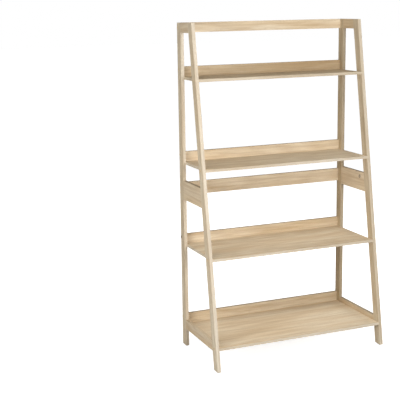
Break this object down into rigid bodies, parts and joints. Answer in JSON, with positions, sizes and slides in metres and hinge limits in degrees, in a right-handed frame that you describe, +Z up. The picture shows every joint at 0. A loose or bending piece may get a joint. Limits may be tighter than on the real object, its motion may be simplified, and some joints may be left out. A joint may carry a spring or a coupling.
{
  "type": "ladder shelf",
  "caption": "Free-standing ladder shelf: upright back legs, leaning front legs, and open shelves that get deeper towards the floor, each with a low back board.",
  "frame": {"origin": "centre of the bounding box at floor level, between the four feet", "axes": "+X is the shelf's right seen from the front, +Y the back, +Z up"},
  "size_m": [0.821, 0.3995, 1.45],
  "materials": {
    "oak_legs": "light oak grain, satin",
    "oak_boards": "light oak grain, satin",
    "oak_shelves": "light oak grain, satin",
    "dowel_beech": "plain beech",
    "cap_plastic": "wood-coloured, matte",
    "glide_plastic": "grey, matte",
    "screw_steel": "zinc-plated steel",
    "cam_zinc": "dark zinc casting"
  },
  "bodies": {
    "root": {"left_back_leg": "oak_legs", "right_back_leg": "oak_legs", "left_front_leg": "oak_legs", "right_front_leg": "oak_legs", "left_top_side_rail": "oak_boards", "right_top_side_rail": "oak_boards", "left_mid_side_panel": "oak_boards", "right_mid_side_panel": "oak_boards", "left_bottom_side_board": "oak_boards", "right_bottom_side_board": "oak_boards", "top_back_rail": "oak_boards", "mid_back_rail": "oak_boards", "shelf_1": "oak_shelves", "shelf_2": "oak_shelves", "shelf_3": "oak_shelves", "shelf_4": "oak_shelves", "back_board_1": "oak_boards", "back_board_2": "oak_boards", "back_board_3": "oak_boards", "back_board_4": "oak_boards", "rail_screws": "screw_steel", "shelf_screws": "screw_steel", "cover_caps": "cap_plastic", "fixed_shelf_caps": "cap_plastic", "cam_locks": "cam_zinc", "cam_bolts": "screw_steel", "frame_dowels": "dowel_beech", "shelf_dowels": "dowel_beech", "foot_glides": "glide_plastic"}
  },
  "joints": []
}
